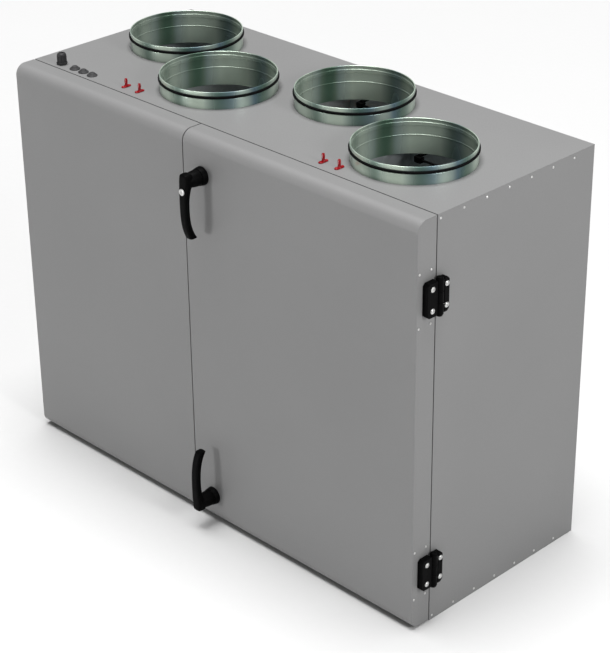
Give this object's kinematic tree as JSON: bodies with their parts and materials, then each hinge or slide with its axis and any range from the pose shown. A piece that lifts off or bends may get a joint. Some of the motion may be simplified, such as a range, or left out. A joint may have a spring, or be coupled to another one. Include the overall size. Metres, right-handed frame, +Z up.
{
  "type": "heat recovery unit",
  "caption": "Vertical cabinet that exchanges heat between two air streams, with hinged insulated front doors, round duct spigots on its roof, lever latches, fans, filters and a plate core.",
  "frame": {"origin": "centre of the cabinet's underside, without the doors", "axes": "+X to the right as seen from the front, -Y out of the front doors, +Z up"},
  "size_m": [1.524, 0.738, 1.176],
  "materials": {
    "painted_casing": "satin",
    "galvanised_sheet": "satin",
    "galvanised_spigot": "gloss",
    "mineral_wool": "matte",
    "exchanger_aluminium": "satin",
    "stainless_tray": "satin",
    "black_rubber": "matte",
    "black_plastic": "satin",
    "red_plastic": "gloss",
    "bright_steel": "satin",
    "zinc_steel": "satin",
    "fan_composite": "satin",
    "fan_alloy": "satin",
    "fan_nozzle_steel": "satin",
    "actuator_plastic": "satin",
    "damper_aluminium": "satin",
    "filter_card": "matte",
    "filter_fleece": "matte",
    "control_cover_paint": "satin"
  },
  "bodies": {
    "casing": {"roof_skin": "painted_casing", "base_skin": "painted_casing", "left_side_skin": "painted_casing", "right_side_skin": "painted_casing", "rear_skin": "painted_casing", "roof_liner": "galvanised_sheet", "wall_liners": "galvanised_sheet", "centre_mullion": "galvanised_sheet", "partition_sheets": "galvanised_sheet", "riser_ducts": "galvanised_sheet", "bypass_duct": "galvanised_sheet", "fan_walls": "galvanised_sheet", "filter_rails": "galvanised_sheet", "exchanger_guides": "galvanised_sheet", "control_box": "galvanised_sheet", "exhaust_air_spigot": "galvanised_spigot", "outdoor_air_spigot": "galvanised_spigot", "extract_air_spigot": "galvanised_spigot", "supply_air_spigot": "galvanised_spigot", "roof_insulation": "mineral_wool", "casing_insulation": "mineral_wool", "exchanger_core": "exchanger_aluminium", "exchanger_frame": "exchanger_aluminium", "condensate_tray": "stainless_tray", "spigot_gaskets": "black_rubber", "roof_grommets": "black_rubber", "cable_gland": "black_plastic", "hinge_frame_leaves": "black_plastic", "duct_sensors": "black_plastic", "pressure_nipples": "red_plastic", "casing_fasteners": "bright_steel", "foot_inserts": "bright_steel", "hinge_pins": "zinc_steel", "fan_motors": "fan_alloy", "fan_nozzles": "fan_nozzle_steel", "bypass_actuator": "actuator_plastic", "filter_frames": "filter_card", "filter_media": "filter_fleece", "control_box_cover": "control_cover_paint"},
    "left_door": {"left_door_skin": "painted_casing", "left_door_insulation": "mineral_wool", "left_door_liner": "galvanised_sheet", "left_door_seal": "black_rubber", "left_door_hinge_leaves": "black_plastic", "left_door_fasteners": "bright_steel"},
    "right_door": {"right_door_skin": "painted_casing", "right_door_insulation": "mineral_wool", "right_door_liner": "galvanised_sheet", "right_door_seal": "black_rubber", "right_door_hinge_leaves": "black_plastic", "right_door_fasteners": "bright_steel", "handle_roses": "black_plastic"},
    "upper_handle": {"upper_lever": "black_plastic", "upper_latch_cam": "zinc_steel"},
    "lower_handle": {"lower_lever": "black_plastic", "lower_latch_cam": "zinc_steel"},
    "lock_barrel": {"lock_cylinder": "bright_steel"},
    "exhaust_fan": {"exhaust_fan_wheel": "fan_composite"},
    "supply_fan": {"supply_fan_wheel": "fan_composite"},
    "bypass_flap": {"bypass_blade": "damper_aluminium"}
  },
  "joints": [
    {"name": "right_door_hinge", "type": "hinge", "parent": "casing", "child": "right_door", "pos_m": [0.752, -0.289, 0.545], "axis": [0, 0, 1], "range_deg": [0, 120]},
    {"name": "left_door_hinge", "type": "hinge", "parent": "casing", "child": "left_door", "pos_m": [-0.752, -0.289, 0.545], "axis": [0, 0, -1], "range_deg": [0, 120]},
    {"name": "upper_handle_turn", "type": "hinge", "parent": "right_door", "child": "upper_handle", "pos_m": [0.01, -0.3545, 1.028], "axis": [0, -1, 0], "range_deg": [0, 90]},
    {"name": "lower_handle_turn", "type": "hinge", "parent": "right_door", "child": "lower_handle", "pos_m": [0.01, -0.3545, 0.082], "axis": [0, 1, 0], "range_deg": [0, 90]},
    {"name": "lock_cylinder_turn", "type": "hinge", "parent": "upper_handle", "child": "lock_barrel", "pos_m": [0.01, -0.4235, 1.004], "axis": [0, -1, 0], "range_deg": [0, 90]},
    {"name": "exhaust_fan_spin", "type": "hinge", "parent": "casing", "child": "exhaust_fan", "pos_m": [-0.45, -0.02, 0.3], "axis": [1, 0, 0], "continuous": true},
    {"name": "supply_fan_spin", "type": "hinge", "parent": "casing", "child": "supply_fan", "pos_m": [0.41, -0.02, 0.3], "axis": [1, 0, 0], "continuous": true},
    {"name": "bypass_blade_turn", "type": "hinge", "parent": "casing", "child": "bypass_flap", "pos_m": [-0.047, 0.17675, 0.59], "axis": [0.7071, 0, 0.7071], "range_deg": [0, 90]}
  ]
}
